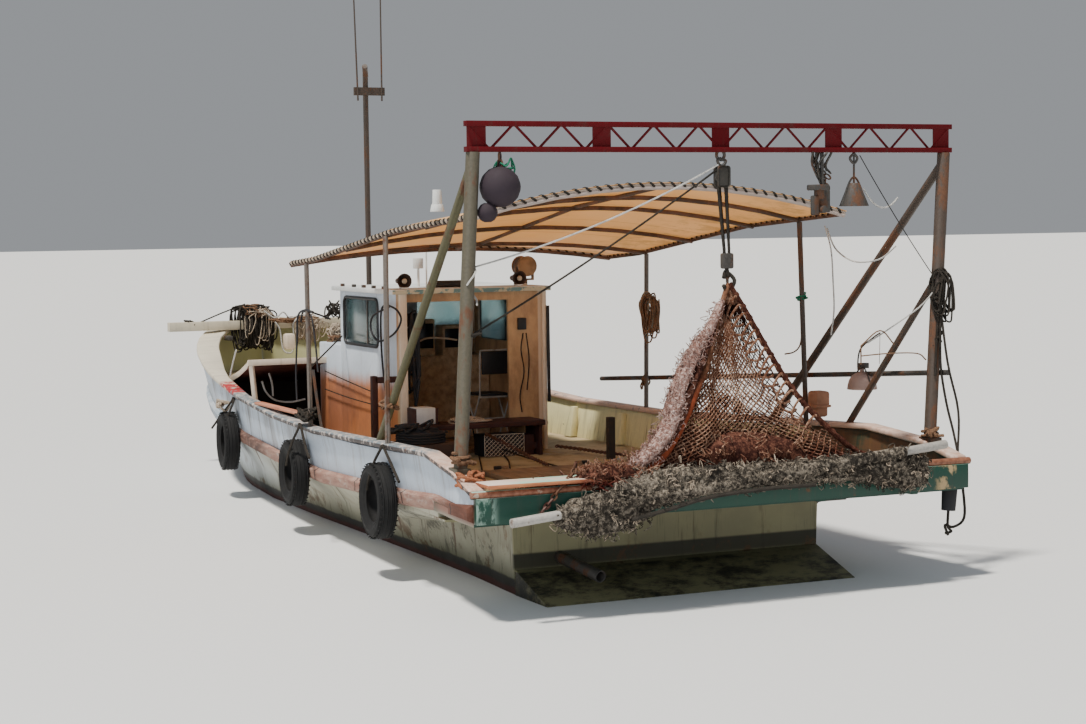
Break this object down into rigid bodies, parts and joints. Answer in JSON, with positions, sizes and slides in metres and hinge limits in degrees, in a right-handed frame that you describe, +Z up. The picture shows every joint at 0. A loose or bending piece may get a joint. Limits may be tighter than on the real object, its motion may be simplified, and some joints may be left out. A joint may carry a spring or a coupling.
{
  "type": "fishing trawler",
  "caption": "Small inshore stern trawler afloat: moulded hull, open wheelhouse, stern gallows with a hoisted net, sun shelter, tyre fenders, propeller and rudder.",
  "frame": {"origin": "on the hull's centreline at the waterline, about half way along", "axes": "+X towards the bow, +Y to port, +Z up"},
  "size_m": [10.8294, 3.8703, 6.7051],
  "materials": {
    "hull_cream": "weathered paint on moulded hull, dark antifouling below the waterline",
    "topside_white": "weathered white paint with dark streaks",
    "cap_cream": "cream paint, worn and chipped",
    "strake_pink": "faded red-brown painted timber",
    "platform_green": "green paint, scraped and rusty at its edges",
    "pipe_grey": "old galvanised steel pipe, dull and stained",
    "pipe_rust": "rusted steel pipe",
    "beam_crimson": "crimson paint, worn",
    "canvas_tan": "faded orange-tan tarpaulin",
    "net_red": "knotted twine netting, red-brown",
    "net_grey": "knotted twine netting, grey-olive",
    "rope_dark": "tarred dark rope",
    "rope_pale": "pale worn rope",
    "tyre": "old tyre rubber",
    "black_rubber": "black rubber and plastic",
    "iron": "dark greasy steel, rust spots",
    "bronze": "dull bronze",
    "wood_brown": "old varnished and stained timber",
    "house_white": "white paint, orange-brown stain low down"
  },
  "bodies": {
    "boat": {"hull": "hull_cream", "engine": "iron", "engine_hatch": "wood_brown", "bulwark_port": "topside_white", "bulwark_starboard": "topside_white", "gunwale_cap_port": "cap_cream", "gunwale_cap_starboard": "cap_cream", "rub_strake_port": "strake_pink", "rub_strake_starboard": "strake_pink", "stern_platform": "platform_green", "stern_rail": "platform_green", "stern_extension": "hull_cream", "exhaust_pipe": "iron", "gallows_post_port": "pipe_grey", "gallows_post_starboard": "pipe_grey", "gallows_beam": "beam_crimson", "brace_port": "pipe_grey", "brace_starboard_long": "pipe_rust", "brace_starboard_short": "pipe_rust", "side_bar": "pipe_rust", "shelter_canvas": "canvas_tan", "shelter_frame": "pipe_grey", "shelter_pole_port_fore": "pipe_grey", "shelter_pole_port_aft": "pipe_grey", "shelter_pole_starboard_fore": "pipe_grey", "shelter_pole_starboard_aft": "pipe_grey", "wheelhouse_walls": "house_white", "wheelhouse_roof": "house_white", "fore_casing": "house_white", "console": "wood_brown", "helm_chair": "pipe_rust", "fore_hood": "cap_cream", "mast": "pipe_rust", "tyre_port_aft": "tyre", "tyre_starboard_aft": "tyre", "tyre_port_middle": "tyre", "tyre_starboard_middle": "tyre", "tyre_port_fore": "tyre", "tyre_starboard_fore": "tyre", "trawl_pole": "pipe_grey", "net_roll": "net_grey", "hoisted_net": "net_red", "hoist_tackle": "iron", "side_tackle": "iron", "work_lamp_high": "iron", "work_lamp_low": "pipe_grey", "gallows_floats": "black_rubber", "work_bench": "wood_brown", "fish_box": "black_rubber", "deck_hose_coil": "black_rubber", "bow_beam": "cap_cream", "rope_hank_dark": "rope_dark", "rope_hank_pale": "rope_pale"},
    "propeller": {"propeller": "bronze"},
    "rudder": {"rudder": "bronze"},
    "helm": {"helm_wheel": "iron"},
    "fish_hold_cover": {"fish_hold_lid": "wood_brown"},
    "bow_store_cover": {"bow_store_lid": "hull_cream"}
  },
  "joints": [
    {"name": "propeller_spin", "type": "hinge", "parent": "boat", "child": "propeller", "pos_m": [-4.76, 0, -0.42], "axis": [1, 0, 0], "continuous": true},
    {"name": "rudder_turn", "type": "hinge", "parent": "boat", "child": "rudder", "pos_m": [-5.1, 0, -0.4], "axis": [0, 0, 1], "range_deg": [-35, 35]},
    {"name": "helm_turn", "type": "hinge", "parent": "boat", "child": "helm", "pos_m": [-0.915, 0.29, 1.18], "axis": [1, 0, 0], "range_deg": [-540, 540]},
    {"name": "fish_hold_lid_hinge", "type": "hinge", "parent": "boat", "child": "fish_hold_cover", "pos_m": [-3.308, 0, 0.604], "axis": [0, 1, 0], "range_deg": [0, 100]},
    {"name": "bow_store_lid_hinge", "type": "hinge", "parent": "boat", "child": "bow_store_cover", "pos_m": [2.288, 0, 1.004], "axis": [0, 1, 0], "range_deg": [-100, 0]}
  ],
  "couplings": [
    {"joint": "helm_turn", "follows": "rudder_turn", "ratio": 15.42}
  ]
}
